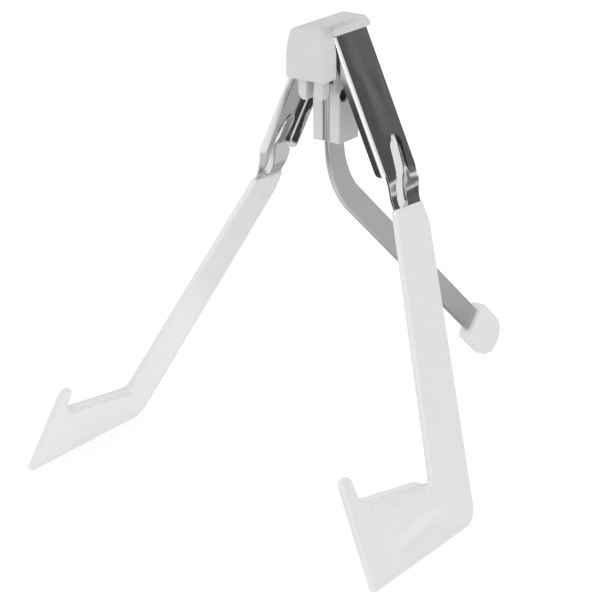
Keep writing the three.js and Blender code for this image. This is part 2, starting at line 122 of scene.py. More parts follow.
def flag_grey(name, level):
    """An even grey, whatever light falls on it; above 1 it is a lamp."""
    material, nodes, links, shader = new_finish(name)
    nodes.remove(shader)
    glow = nodes.new("ShaderNodeEmission")
    glow.inputs["Color"].default_value = (level, level, level, 1)
    links.new(glow.outputs[0], nodes["Material Output"].inputs["Surface"])
    return material


stage_card("table", (0, 0, 0), (0, 0, 1), TABLE_SIDE, TABLE_SIDE, table_white())

tent = bpy.data.worlds.new("tent")
tent.use_nodes = True
tent.node_tree.nodes["Background"].inputs["Color"].default_value = (1, 1, 1, 1)
tent.node_tree.nodes["Background"].inputs["Strength"].default_value = 1.0
scene.world = tent

window_data = bpy.data.lights.new("window", "AREA")
window_data.shape = "SQUARE"
window_data.size = 1.8
window_data.energy = 2
window = bpy.data.objects.new("window", window_data)
window.location = WINDOW_AT
window.rotation_euler = (WINDOW_AIM - WINDOW_AT).to_track_quat("-Z", "Y").to_euler()
scene.collection.objects.link(window)

# Each card: name, centre, facing, width, height and level of grey.
flags = [
    ("flag_back_right", (1.75, 2.05, 0.75), (-0.6, -0.8, 0), 1.5, 1.5, 0.10),
    ("flag_back_left", (0.45, 2.75, 0.55), (0, -1, 0), 1.6, 1.3, 0.02),
    ("streak_dark", (1.646, 2.103, 0.75), (-0.6, -0.8, 0), 0.04, 1.5, 0.01),
    ("streak_light", (1.578, 2.154, 0.75), (-0.6, -0.8, 0), 0.08, 1.5, 0.24),
    ("streak_edge", (1.402, 2.286, 0.75), (-0.6, -0.8, 0), 0.06, 1.5, 0.28),
    ("flag_left_low", (-0.150, -0.30, 0.105), (0.55, 0.75, 0.3), 0.12, 0.15, 0.05),
    ("flag_table", (-0.22, 0.42, 0.002), (0, 0, 1), 0.56, 0.75, 0.42),
    ("flag_table_right", (0.40, 0.48, 0.002), (0, 0, 1), 0.68, 0.80, 0.68),
    ("flag_table_far", (0.75, 1.35, 0.002), (0, 0, 1), 0.7, 0.9, 0.08),
    ("flag_front_low", (0.02, -0.38, 0.002), (0, 0, 1), 0.44, 0.34, 0.04),
    ("flag_back_high", (-1.4, 2.3, 1.45), (0.46, -0.76, -0.47), 1.6, 1.2, 0.05),
    ("strip_front", (0.9, -1.6, 0.75), (-0.5, 0.85, -0.3), 0.56, 1.2, 3.0),
]
for name, centre, facing, width, height, level in flags:
    flag = stage_card(name, centre, facing, width, height, flag_grey(name, level))
    flag.visible_camera = False
    flag.visible_diffuse = False
    flag.visible_shadow = False
    flag.visible_transmission = False
    if level < 1:
        # A dark card lights nothing, so it isn't sampled as a lamp.
        flag.data.materials[0].cycles.emission_sampling = "NONE"

# ------------------------------------------------- front legs, steel part
# Each leg is one bright plated pressing of thin sheet: a deep channel above,
# a stepped neck with a stiffening rib, then the flat foot in its coating. It
# turns on a pin through the channel's two flanges.
SHEET = 0.0014
CHANNEL_OUT = 0.0026
CHANNEL_FRONT = -0.0026
CHANNEL_BACK = 0.0346
CORNER = 0.0026
FLANGE_DEPTH = 0.0068
LUG_DEPTH = 0.0094
FRONT_FLANGE_END = 0.2225
BACK_FLANGE_END = 0.2165
LEG_TOP = 0.3155
SHEET_END = 0.190
NECK_OUT = -0.0012
NECK_FRONT = 0.0012
NECK_BACK = 0.0297
STEP_LOW = 0.2035
STEP_HIGH = 0.2235
BACK_SHOULDER = 0.0338
WEB_CROWN = 0.00022
LUG_FROM = 0.3025
LUG_FULL = 0.3055
FLANGE_ROUND = 0.0042
TOP_ROUND = 0.0036
SHEET_EDGE = 0.0003
PIN_IN_LEG = Vector((-0.0032, 0, 0.3095))
# The rib, from its low end in the neck to its high end in the channel.
RIB_LOW_Y = 0.0112
RIB_HIGH_Y = 0.0178
RIB_TOP = 0.2375
RIB_LOW_HALF = 0.0052
RIB_HIGH_HALF = 0.0046
RIB_LOW_RISE = 0.0026
RIB_HIGH_RISE = 0.0013
SKIRT_FRONT_RISE = 0.0003
SKIRT_BACK_RISE = 0.0013
SKIRT_FROM = 0.0030
SKIRT_TO = 0.0102
SHARP = math.radians(38)

joints = {joint["name"]: joint for joint in frame["joints"]}
strip_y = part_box("front_leg_right")[1].y - CHANNEL_BACK
right_joint = joints["right_leg_fold"]
splay = Matrix.Rotation(-math.radians(right_joint["range_deg"][1]), 4, "Y")
leg_foot = Vector(right_joint["pos_m"]) - splay @ PIN_IN_LEG
leg_foot.y = strip_y
LEG_PLACE = {"right": Matrix.Translation(leg_foot) @ splay}
LEG_PLACE["left"] = Matrix.Scale(-1, 4, (1, 0, 0)) @ LEG_PLACE["right"]


def ease(value, low, high):
    """Smooth step from 0 at low to 1 at high."""
    t = min(max((value - low) / (high - low), 0), 1)
    return t * t * (3 - 2 * t)


def mix(a, b, t):
    """Straight blend from a to b."""
    return a + (b - a) * t


def round_off(distance, radius):
    """How far a corner of that radius has drawn back, this far from its end."""
    if distance >= radius:
        return 0
    return radius - math.sqrt(max(radius ** 2 - (radius - distance) ** 2, 0))


def rib_stand(y, z):
    """Height of the stiffening rib over the sheet."""
    centre = mix(RIB_LOW_Y, RIB_HIGH_Y, ease(z, 0.196, 0.245))
    off_axis = abs(y - centre)
    past_end = max(z - RIB_TOP, 0)
    spread = math.hypot(off_axis, past_end)
    half = mix(RIB_LOW_HALF, RIB_HIGH_HALF, ease(z, 0.2, 0.24))
    skirt = mix(SKIRT_FRONT_RISE, SKIRT_BACK_RISE, ease(y - centre, -0.002, 0.003))
    skirt *= (1 - ease(spread, SKIRT_FROM, SKIRT_TO)) * ease(z, 0.212, 0.226)
    ridge = mix(RIB_LOW_RISE, RIB_HIGH_RISE, ease(z, 0.202, 0.226))
    ridge *= 1 - ease(spread, half * 0.2, half)
    return (ridge + skirt) * ease(z, 0.1985, 0.2035)


def web_point(across, along):
    """A point of the outer face, across from front to back and along from foot to top."""
    z = mix(SHEET_END, LEG_TOP, along)
    step = ease(z, STEP_LOW, STEP_HIGH)
    front = mix(NECK_FRONT, CHANNEL_FRONT + CORNER, ease(z, 0.212, FRONT_FLANGE_END))
    back_neck = mix(NECK_BACK, BACK_SHOULDER, ease(z, 0.199, 0.213))
    back = mix(back_neck, CHANNEL_BACK - CORNER, ease(z, 0.2145, BACK_FLANGE_END))
    y = mix(front, back, across)
    crown = -WEB_CROWN * (2 * across - 1) ** 2 * step
    return Vector((mix(NECK_OUT, CHANNEL_OUT, step) + crown + rib_stand(y, z), y, z))


def flange_depth(z, end):
    """How deep a flange is at a height: deeper at the pin's lug, rounded at both ends."""
    depth = mix(FLANGE_DEPTH, LUG_DEPTH, ease(z, LUG_FROM, LUG_FULL))
    return depth - round_off(z - end, FLANGE_ROUND) - round_off(LEG_TOP - z, TOP_ROUND)


def only(kind, geom):
    """The vertices, edges or faces among an operator's results."""
    return [part for part in geom if isinstance(part, kind)]


def fold_flange(sheet, edge_y, corner_y, end, turn):
    """Rolls the sheet's side round the channel corner and draws the flange down."""
    edges = [
        edge for edge in sheet.edges
        if edge.is_boundary and all(abs(v.co.y - edge_y) < 1e-5 and v.co.z > end for v in edge.verts)
    ]
    rim = edges + list(dict.fromkeys(v for edge in edges for v in edge.verts))
    rolled = bmesh.ops.spin(
        sheet, geom=rim, cent=(CHANNEL_OUT - CORNER, corner_y, 0), axis=(0, 0, 1),
        dvec=(0, 0, 0), angle=turn, steps=6, use_merge=False,
    )
    drawn = bmesh.ops.extrude_edge_only(sheet, edges=only(BMEdge, rolled["geom_last"]))
    for vert in only(BMVert, drawn["geom"]):
        vert.co.x = CHANNEL_OUT - flange_depth(vert.co.z, end)


def leg_pressing(name, place):
    """The outer face as a curved sheet, its sides folded to flanges, then made thick."""
    sheet = bmesh.new()
    bmesh.ops.create_grid(sheet, x_segments=44, y_segments=150, size=1)
    for vert in sheet.verts:
        vert.co = web_point((vert.co.x + 1) / 2, (vert.co.y + 1) / 2)
    front_corner = CHANNEL_FRONT + CORNER
    back_corner = CHANNEL_BACK - CORNER
    fold_flange(sheet, front_corner, front_corner, FRONT_FLANGE_END, -math.pi / 2)
    fold_flange(sheet, back_corner, back_corner, BACK_FLANGE_END, math.pi / 2)
    bmesh.ops.remove_doubles(sheet, verts=sheet.verts, dist=1e-6)
    bmesh.ops.recalc_face_normals(sheet, faces=sheet.faces)
    if sum(face.normal.x for face in sheet.faces) < 0:
        bmesh.ops.reverse_faces(sheet, faces=sheet.faces)
    bmesh.ops.transform(sheet, matrix=place, verts=sheet.verts)
    if place.is_negative:
        bmesh.ops.reverse_faces(sheet, faces=sheet.faces)
    made = finish_mesh(sheet, name)
    wall = made.modifiers.new("wall", "SOLIDIFY")
    wall.thickness = SHEET
    wall.offset = -1
    wall.use_even_offset = True
    soften(made, SHEET_EDGE, 2)
    return made


def finish_mesh(shape, name):
    """Turns a finished shape into a smooth-shaded piece."""
    data = bpy.data.meshes.new(name)
    for face in shape.faces:
        face.smooth = True
    shape.to_mesh(data)
    shape.free()
    made = bpy.data.objects.new(name, data)
    scene.collection.objects.link(made)
    return made


def keep_flats(piece):
    """Shades the flats as flat, so that only the rounds look round."""
    flats = piece.modifiers.new("flats", "WEIGHTED_NORMAL")
    flats.keep_sharp = False
    flats.weight = 100


def soften(piece, width, segments, limit="ANGLE"):
    """Breaks the sharp edges and keeps the flats flat."""
    edge = piece.modifiers.new("edges", "BEVEL")
    edge.width = width
    edge.segments = segments
    edge.limit_method = limit
    edge.angle_limit = SHARP
    keep_flats(piece)


def noise_field(nodes, links, scale, detail, stretch=(1, 1, 1)):
    """Noise on the piece's own coordinates."""
    place = nodes.new("ShaderNodeTexCoord")
    spread = nodes.new("ShaderNodeMapping")
    spread.inputs["Scale"].default_value = stretch
    field = nodes.new("ShaderNodeTexNoise")
    field.inputs["Scale"].default_value = scale
    field.inputs["Detail"].default_value = detail
    links.new(place.outputs["Object"], spread.inputs["Vector"])
    links.new(spread.outputs["Vector"], field.inputs["Vector"])
    return field.outputs["Fac"]


def to_range(nodes, links, value, low, high):
    """Spreads the middle of a noise field over a range."""
    ranged = nodes.new("ShaderNodeMapRange")
    ranged.inputs["From Min"].default_value = 0.3
    ranged.inputs["From Max"].default_value = 0.7
    ranged.inputs["To Min"].default_value = low
    ranged.inputs["To Max"].default_value = high
    links.new(value, ranged.inputs["Value"])
    return ranged.outputs["Result"]


def bumps(nodes, links, shader, height, distance):
    """Shallow relief, that many metres deep."""
    bump = nodes.new("ShaderNodeBump")
    bump.inputs["Strength"].default_value = 1.0
    bump.inputs["Distance"].default_value = distance
    links.new(height, bump.inputs["Height"])
    links.new(bump.outputs["Normal"], shader.inputs["Normal"])


def bright_plate():
    """Chrome over pressed sheet: mirror-bright, with faint waves and wipe marks."""
    material, nodes, links, shader = new_finish("bright_plate")
    shader.inputs["Base Color"].default_value = (0.73, 0.735, 0.74, 1)
    shader.inputs["Metallic"].default_value = 1
    smears = noise_field(nodes, links, 90, 4, (1, 1, 0.25))
    links.new(to_range(nodes, links, smears, 0.09, 0.16), shader.inputs["Roughness"])
    waves = noise_field(nodes, links, 45, 1)
    bumps(nodes, links, shader, waves, 0.00012)
    return material


chrome = bright_plate()
for side in ("right", "left"):
    leg = leg_pressing(f"leg_pressing_{side}", LEG_PLACE[side])
    leg.data.materials.append(chrome)
    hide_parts(f"front_leg_{side}")
    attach(leg, f"{side}_leg")

# ------------------------------------------------- front legs, coated feet
# The foot and its hook are dipped in soft white vinyl, which leaves round
# edges. The ledge is bent in to carry the instrument, and a shallow bead
# pressed across the foot stiffens it.
FOOT_THICK = 0.0042
LIP_OUT = 0.0062
LIP_HEIGHT = 0.0052
LEDGE_FRONT = Vector((0.1256, 0.0510))
LEDGE_BACK = Vector((0.0575, 0.0380))
LIP_NEAR = 0.0042
LIP_FAR = 0.0052
LIP_LEAN = 0.36
LIP_FOLD = 0.002
LIP_ROOT = 0.00295
DIP_ROUND = 0.0013
LIP_ROUND = 0.0018
RIM_LAND = 0.0008
RIM_HIGH = 0.0003
LEDGE_FOLD = 0.0013
LEDGE_FOLD_WIDE = 0.0095
LEDGE_DROP = 0.0012
LEDGE_DROP_WIDE = 0.004
FOLD_BEFORE = 0.001
FOLD_AFTER = 0.003
SCORE_STEP = 0.0008
BEAD_FROM = Vector((0.052, 0.0165))
BEAD_TO = Vector((0.112, 0.0135))
BEAD_HALF = 0.0085
BEAD_DEEP = 0.0012
FOOT_LAY = Matrix(((0, 0, -1, 0), (-1, 0, 0, 0), (0, 1, 0, 0), (0, 0, 0, 1)))


def corner_reach(before, corner, after, radius):
    """Distance from a corner to where an arc of that radius starts."""
    one = (before - corner).normalized()
    two = (after - corner).normalized()
    return radius / math.tan(one.angle(two) / 2)


def round_corner(shape, point, reach, steps):
    """Rounds one corner of a flat shape, by an arc that starts that far from it."""
    bmesh.ops.bevel(
        shape, geom=[point], offset=reach, offset_type="OFFSET", segments=steps, profile=0.5,
        affect="VERTICES", clamp_overlap=False, material=-1,
    )


def rounded_blank(corners, thickness, steps=6):
    """A flat blank of (x, y, corner radius) points, its corners rounded, made thick."""
    blank = bmesh.new()
    flat = [Vector((x, y, 0)) for x, y, _ in corners]
    points = [blank.verts.new(place) for place in flat]
    blank.faces.new(points)
    for i, (point, corner) in enumerate(zip(points, corners)):
        if corner[2] > 0:
            reach = corner_reach(flat[i - 1], flat[i], flat[(i + 1) % len(flat)], corner[2])
            round_corner(blank, point, reach, steps)
    grown = bmesh.ops.extrude_face_region(blank, geom=list(blank.faces))
    bmesh.ops.translate(blank, vec=(0, 0, thickness), verts=only(BMVert, grown["geom"]))
    bmesh.ops.recalc_face_normals(blank, faces=blank.faces)
    return blank


def along_ledge(distance, down):
    """A point so far forward along the ledge, and so far below it."""
    ledge = (LEDGE_FRONT - LEDGE_BACK).normalized()
    return LEDGE_BACK + ledge * distance + Vector((ledge.y, -ledge.x)) * down


def foot_blank():
    """The foot from the side, in the leg's own y and z: sole, toe, hook, ledge and leg."""
    length = (LEDGE_FRONT - LEDGE_BACK).length
    lip_start = along_ledge(length - LIP_FAR, 0)
    lip_end = along_ledge(LIP_NEAR, 0)
    return rounded_blank([
        (0, 0.2004, 0), (-0.0305, 0.1986, 0), (-0.0305, 0.184, 0.02),
        (0.0295, 0, 0.014), (0.1425, 0, 0.0035),
        (0.137, 0.0705, 0.005), (0.1272, 0.0695, 0.0044),
        (*LEDGE_FRONT, 0.0015), (*lip_start, 0), (*lip_end, 0), (*LEDGE_BACK, 0.0025),
    ], FOOT_THICK)


def cut_lines(shape, origin, across, offsets):
    """Scores the foot's outer face with parallel lines, so that it can be drawn there."""
    for offset in offsets:
        faces = [face for face in shape.faces if all(v.co.z < RIM_HIGH + 1e-6 for v in face.verts)]
        edges = dict.fromkeys(edge for face in faces for edge in face.edges)
        points = dict.fromkeys(vert for face in faces for vert in face.verts)
        bmesh.ops.bisect_plane(
            shape, geom=[*faces, *edges, *points], plane_co=(*(origin + across * offset), 0),
            plane_no=(*across, 0), dist=1e-6,
        )


def draw_outer_face(foot):
    """Presses in the bead and folds the sheet gently inward along the ledge."""
    bead_run = (BEAD_TO - BEAD_FROM).normalized()
    bead_side = Vector((-bead_run.y, bead_run.x))
    bead_mid = (BEAD_FROM + BEAD_TO) / 2
    bead_long = (BEAD_TO - BEAD_FROM).length / 2
    ledge_run = (LEDGE_FRONT - LEDGE_BACK).normalized()
    ledge_down = Vector((ledge_run.y, -ledge_run.x))
    ledge_long = (LEDGE_FRONT - LEDGE_BACK).length
    cut_lines(foot, bead_mid, bead_side, [BEAD_HALF * k / 9 for k in range(-9, 10)])
    cut_lines(foot, bead_mid, bead_run, [bead_long * k / 14 for k in range(-14, 15)])
    cut_lines(foot, LEDGE_BACK, ledge_down, [DIP_ROUND + SCORE_STEP * k for k in range(1, 11)])
    fold_ends = [LIP_NEAR + SCORE_STEP * k - 0.002 for k in range(8)]
    fold_ends += [ledge_long - LIP_FAR - SCORE_STEP * k + 0.002 for k in range(8)]
    cut_lines(foot, LEDGE_BACK, ledge_run, fold_ends)
    for vert in foot.verts:
        flat = vert.co.xy
        on_bead = 1 - ease(abs((flat - bead_mid) @ bead_side), 0, BEAD_HALF)
        on_bead *= 1 - ease(abs((flat - bead_mid) @ bead_run), bead_long * 0.5, bead_long)
        run = (flat - LEDGE_BACK) @ ledge_run
        down = max((flat - LEDGE_BACK) @ ledge_down, 0)
        on_ledge = ease(run, LIP_NEAR - FOLD_BEFORE, LIP_NEAR + FOLD_AFTER)
        to_hook = ledge_long - LIP_FAR
        on_ledge *= 1 - ease(run, to_hook - FOLD_AFTER, to_hook + FOLD_BEFORE)
        fold = LEDGE_FOLD * (1 - ease(down, 0, LEDGE_FOLD_WIDE))
        outer = 1 - ease(vert.co.z, 0, FOOT_THICK / 2)
        vert.co.z += outer * (BEAD_DEEP * on_bead + fold * on_ledge)
        drop = LEDGE_DROP * outer * on_ledge
        vert.co.xy += ledge_down * drop * (1 - ease(down, 0, LEDGE_DROP_WIDE))


def raise_rim(foot):
    """The dip draws back from each edge and leaves a low rim round both faces."""
    flats = [face for face in foot.faces if abs(face.normal.z) > 0.99 and face.calc_area() > 0.001]
    for face in flats:
        bmesh.ops.inset_region(foot, faces=[face], thickness=RIM_LAND, depth=0)
        bmesh.ops.inset_region(foot, faces=[face], thickness=RIM_LAND, depth=-RIM_HIGH)


def round_edges(shape, offset, segments=5):
    """Rounds every sharp edge of a closed shape."""
    edges = [edge for edge in shape.edges if edge.calc_face_angle(0) > SHARP]
    bmesh.ops.bevel(
        shape, geom=edges, offset=offset, offset_type="OFFSET", segments=segments, profile=0.5,
        affect="EDGES", clamp_overlap=False, material=-1,
    )


def lip_bar():
    """The bent-in strip of the ledge, its two ends nearly half round."""
    near, far = LIP_NEAR, (LEDGE_FRONT - LEDGE_BACK).length - LIP_FAR
    top = 0.0001
    places = [(near, LIP_HEIGHT), (far, LIP_HEIGHT), (far, top), (near, top)]
    corners = [(*along_ledge(distance, down), LIP_HEIGHT / 2 - 0.0003) for distance, down in places]
    return rounded_blank(corners, LIP_OUT + LIP_ROOT)


def cut_to_floor(shape, place):
    """Takes off what would be under the floor once the shape is placed, and closes it."""
    up = (place.inverted() @ Vector((0, 0, 1, 0))).xyz
    everything = [*shape.verts, *shape.edges, *shape.faces]
    cut = bmesh.ops.bisect_plane(
        shape, geom=everything, plane_co=place.inverted() @ Vector((0, 0, 0)), plane_no=-up,
        clear_outer=True, dist=1e-7,
    )
    bmesh.ops.holes_fill(shape, edges=only(BMEdge, cut["geom_cut"]), sides=0)
    bmesh.ops.recalc_face_normals(shape, faces=shape.faces)


def coated_foot(name, place):
    """One dipped foot with its ledge strip, laid on its leg and cut flat at the floor."""
    foot = foot_blank()
    round_edges(foot, DIP_ROUND)
    raise_rim(foot)
    draw_outer_face(foot)
    lip = lip_bar()
    round_edges(lip, LIP_ROUND)
    bmesh.ops.translate(lip, vec=(0, 0, FOOT_THICK - LIP_ROOT), verts=lip.verts)
    ledge_down = along_ledge(0, 1) - LEDGE_BACK
    for vert in lip.verts:
        vert.co.xy -= ledge_down * LIP_LEAN * (vert.co.z - LIP_FOLD)
    spare = bpy.data.meshes.new("lip")
    lip.to_mesh(spare)
    lip.free()
    foot.from_mesh(spare)
    bpy.data.meshes.remove(spare)
    cut_to_floor(foot, place @ FOOT_LAY)
    bmesh.ops.transform(foot, matrix=place @ FOOT_LAY, verts=foot.verts)
    bmesh.ops.recalc_face_normals(foot, faces=foot.faces)
    made = finish_mesh(foot, name)
    keep_flats(made)
    return made


def dipped_vinyl():
    """Plastisol dip: soft gloss, a faint orange-peel and a tone that varies a little."""
    material, nodes, links, shader = new_finish("dipped_vinyl")
    tone = nodes.new("ShaderNodeMix")
    tone.data_type = "RGBA"
    tone.inputs["A"].default_value = (0.75, 0.75, 0.745, 1)
    tone.inputs["B"].default_value = (0.78, 0.78, 0.775, 1)
    links.new(noise_field(nodes, links, 22, 2), tone.inputs["Factor"])
    links.new(tone.outputs["Result"], shader.inputs["Base Color"])
    shader.inputs["Specular IOR Level"].default_value = 0.5
    sheen = to_range(nodes, links, noise_field(nodes, links, 60, 2), 0.25, 0.32)
    links.new(sheen, shader.inputs["Roughness"])
    bumps(nodes, links, shader, noise_field(nodes, links, 160, 2), 0.00003)
    return material


vinyl = dipped_vinyl()
for side in ("right", "left"):
    foot = coated_foot(f"coated_foot_{side}", LEG_PLACE[side])
    foot.data.materials.append(vinyl)
    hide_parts(f"foot_coating_{side}")
    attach(foot, f"{side}_leg")

# ---------------------------------------------------------------- rear leg
# A flat steel bar, satin plated, its edges drawn round. It hangs straight
# down from the pivot bolt and then sweeps back to the floor.
BAR_THICK = 0.0038
BAR_FRONT = strip_y + 0.0047
BAR_BACK = strip_y + 0.0223
BAR_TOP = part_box("rear_leg")[1].z
BEND_Z = 0.217
BEND_INNER = 0.055
BEND = math.radians(48.3)
BAR_EDGE = 0.0011
CUT_EDGE = 0.0002
bend_centre = Vector((0, BAR_BACK + BEND_INNER, BEND_Z))
slope = Vector((0, math.sin(BEND), -math.cos(BEND)))
rise = Vector((0, math.cos(BEND), math.sin(BEND)))
lower_edge = bend_centre @ rise - (BEND_INNER + BAR_BACK - BAR_FRONT)
upper_edge = bend_centre @ rise - BEND_INNER
foot_y = Vector((0, strip_y, 0)) @ slope
BAR_END = 0.155 + foot_y


def bent_bar(name):
    """The bar's section drawn down from the bolt, swept round the bend and drawn on."""
    bar = bmesh.new()
    half = BAR_THICK / 2
    outline = [(-half, BAR_FRONT), (half, BAR_FRONT), (half, BAR_BACK), (-half, BAR_BACK)]
    points = [bar.verts.new((x, y, BAR_TOP)) for x, y in outline]
    bar.faces.new(points)
    bmesh.ops.bevel(
        bar, geom=points, offset=BAR_EDGE, offset_type="OFFSET", segments=4, profile=0.5,
        affect="VERTICES", clamp_overlap=True, material=-1,
    )
    drawn = bmesh.ops.extrude_face_region(bar, geom=list(bar.faces))
    lowered = only(BMVert, drawn["geom"])
    bmesh.ops.translate(bar, vec=(0, 0, BEND_Z - BAR_TOP), verts=lowered)
    end = only(BMFace, drawn["geom"])
    end_edges = list(dict.fromkeys(edge for face in end for edge in face.edges))
    swept = bmesh.ops.spin(
        bar, geom=end + lowered + end_edges, cent=bend_centre,
        axis=(1, 0, 0), dvec=(0, 0, 0), angle=BEND, steps=36, use_merge=False,
    )
    end = only(BMFace, swept["geom_last"])
    drawn = bmesh.ops.extrude_face_region(bar, geom=end)
    lowered = only(BMVert, drawn["geom"])
    reach = BAR_END - sum(v.co @ slope for v in lowered) / len(lowered)
    bmesh.ops.translate(bar, vec=slope * reach, verts=lowered)
    bmesh.ops.delete(bar, geom=[f for f in end if f.is_valid], context="FACES_ONLY")
    bmesh.ops.remove_doubles(bar, verts=bar.verts, dist=1e-6)
    bmesh.ops.recalc_face_normals(bar, faces=bar.faces)
    made = finish_mesh(bar, name)
    soften(made, CUT_EDGE, 2)
    return made


def satin_plate():
    """Satin nickel over drawn bar: soft, with the fine lines of the draw."""
    material, nodes, links, shader = new_finish("satin_plate")
    shader.inputs["Base Color"].default_value = (0.55, 0.555, 0.56, 1)
    shader.inputs["Metallic"].default_value = 1
    draw = noise_field(nodes, links, 160, 3, (1, 1, 0.3))
    links.new(to_range(nodes, links, draw, 0.3, 0.42), shader.inputs["Roughness"])
    bumps(nodes, links, shader, noise_field(nodes, links, 700, 2), 0.00002)
    return material


satin = satin_plate()
bar = bent_bar("bent_bar")
bar.data.materials.append(satin)
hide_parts("rear_leg")
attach(bar, "rear_leg")

# --------------------------------------------------------------- rear boot
# A moulded white rubber boot pushed over the end of the bar: a thick round
# toe that grips the floor and a softly rolled mouth.
BOOT_MOUTH = 0.1192 + foot_y
BOOT_WALL = 0.006
BOOT_HALF = 0.0056
BOOT_TOE = 0.012
BOOT_BACK = 0.014
BOOT_RIM = 0.0042
BOOT_SQUASH = 0.0018
BOOT_ROUND = 0.0022


def bar_boot(name):
    """The boot from the side, thickened across, rounded, and cut flat where it stands."""
    low = lower_edge - BOOT_WALL
    high = upper_edge + BOOT_WALL
    toe_z = rise.z * (low + BOOT_TOE) - (BOOT_TOE - BOOT_SQUASH)
    toe = toe_z / -slope.z + BOOT_TOE
    boot = rounded_blank([
        (BOOT_MOUTH, low, BOOT_RIM), (toe, low, BOOT_TOE),
        (toe, high, BOOT_BACK), (BOOT_MOUTH, high, BOOT_RIM),
    ], 2 * BOOT_HALF, 10)
    round_edges(boot, BOOT_ROUND, 6)
    columns = (slope, rise, Vector((1, 0, 0)))
    turn = Matrix([[column[row] for column in columns] for row in range(3)]).to_4x4()
    centred = Matrix.Translation((-BOOT_HALF, 0, 0)) @ turn
    cut_to_floor(boot, centred)
    bmesh.ops.transform(boot, matrix=centred, verts=boot.verts)
    made = finish_mesh(boot, name)
    keep_flats(made)
    return made


def boot_rubber():
    """White moulded rubber: dull, with the mould's fine tooth."""
    material, nodes, links, shader = new_finish("boot_rubber")
    shader.inputs["Base Color"].default_value = (0.74, 0.74, 0.735, 1)
    shader.inputs["Specular IOR Level"].default_value = 0.35
    sheen = to_range(nodes, links, noise_field(nodes, links, 200, 3), 0.45, 0.6)
    links.new(sheen, shader.inputs["Roughness"])
    bumps(nodes, links, shader, noise_field(nodes, links, 900, 2), 0.00003)
    return material


boot = bar_boot("bar_boot")
boot.data.materials.append(boot_rubber())
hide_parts("rear_foot_boot")
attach(boot, "rear_leg")

# ---------------------------------------------------------------- head cap
# One white moulding: a deep hood over the front of the hinge, and a roof
# that runs back over both leg tops with a low lip down each side.
cap_low, cap_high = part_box("head_cap")
CAP_HALF = cap_high.x
HOOD_BACK = strip_y - 0.0042
CAP_SHOULDER = 0.2805
CAP_TOP_HALF = 0.0108
ROOF_HALF = 0.0132
ROOF_LOW = 0.288
CAP_WALL = 0.0022
SHOULDER_ROUND = 0.0062
RIDGE_ROUND = 0.0032
HOOD_HOLLOW = 0.0136
ROOF_LIP_TAPER = 0.006
CAP_ROUND = 0.003
CAP_ROUND_SHARE = 0.26


def weigh_edges(shape, share):
    """Marks each sharp edge with its share of the full round."""
    layer = shape.edges.layers.float.new("bevel_weight_edge")
    for edge in shape.edges:
        if len(edge.link_faces) == 2 and edge.calc_face_angle(0) > SHARP:
            edge[layer] = share
    return layer


def hood_and_roof(name):
    """The cap's front drawn back to the hood's depth, its top drawn on as the roof, and a
    lip under each side of the roof."""
    cap = bmesh.new()
    lean = (CAP_TOP_HALF - CAP_HALF) / (cap_high.z - CAP_SHOULDER)
    seam_half = CAP_HALF + lean * (ROOF_LOW - CAP_SHOULDER)
    ring = [
        (-seam_half, ROOF_LOW), (-CAP_HALF, CAP_SHOULDER), (-CAP_HALF, cap_low.z),
        (CAP_HALF, cap_low.z), (CAP_HALF, CAP_SHOULDER), (seam_half, ROOF_LOW),
        (CAP_TOP_HALF, cap_high.z), (-CAP_TOP_HALF, cap_high.z),
    ]
    points = [cap.verts.new((x, cap_low.y, z)) for x, z in ring]
    cap.faces.new(points[:6])
    cap.faces.new([points[0], points[5], points[6], points[7]])
    for point in (points[1], points[4]):
        round_corner(cap, point, SHOULDER_ROUND, 6)
    for point in (points[6], points[7]):
        round_corner(cap, point, RIDGE_ROUND, 6)
    grown = bmesh.ops.extrude_face_region(cap, geom=list(cap.faces))
    back = only(BMVert, grown["geom"])
    bmesh.ops.translate(cap, vec=(0, HOOD_BACK - cap_low.y, 0), verts=back)
    back_faces = only(BMFace, grown["geom"])
    hood, roof = sorted(back_faces, key=lambda face: face.calc_center_median().z)
    grown = bmesh.ops.extrude_face_region(cap, geom=[roof])
    back = only(BMVert, grown["geom"])
    bmesh.ops.translate(cap, vec=(0, cap_high.y - HOOD_BACK, 0), verts=back)
    bmesh.ops.inset_region(cap, faces=[hood], thickness=CAP_WALL, depth=0)
    bmesh.ops.translate(cap, vec=(0, -HOOD_HOLLOW, 0), verts=hood.verts)
    for side in (1, -1):
        lip = [
            (CAP_TOP_HALF - 0.0012, cap_high.z - 0.0011), (ROOF_HALF - 0.0006, ROOF_LOW + 0.0035),
            (ROOF_HALF, ROOF_LOW), (seam_half - 0.001, ROOF_LOW + 0.0001),
        ]
        strip = cap.faces.new([cap.verts.new((side * x, HOOD_BACK + 0.003, z)) for x, z in lip])
        for reach, thin in ((cap_high.y - HOOD_BACK - 0.0031, 0), (-ROOF_LIP_TAPER, 0.0017)):
            grown = bmesh.ops.extrude_face_region(cap, geom=[strip])
            moved = only(BMVert, grown["geom"])
            bmesh.ops.translate(cap, vec=(-side * thin, reach, 0), verts=moved)
    bmesh.ops.recalc_face_normals(cap, faces=cap.faces)
    layer = weigh_edges(cap, CAP_ROUND_SHARE)
    for edge in cap.edges:
        at_front = all(abs(v.co.y - cap_low.y) < 1e-5 for v in edge.verts)
        if at_front and len(edge.link_faces) == 2 and edge.calc_face_angle(0) > SHARP:
            edge[layer] = 1
    made = finish_mesh(cap, name)
    soften(made, CAP_ROUND, 5, "WEIGHT")
    made.modifiers["edges"].use_clamp_overlap = False
    return made


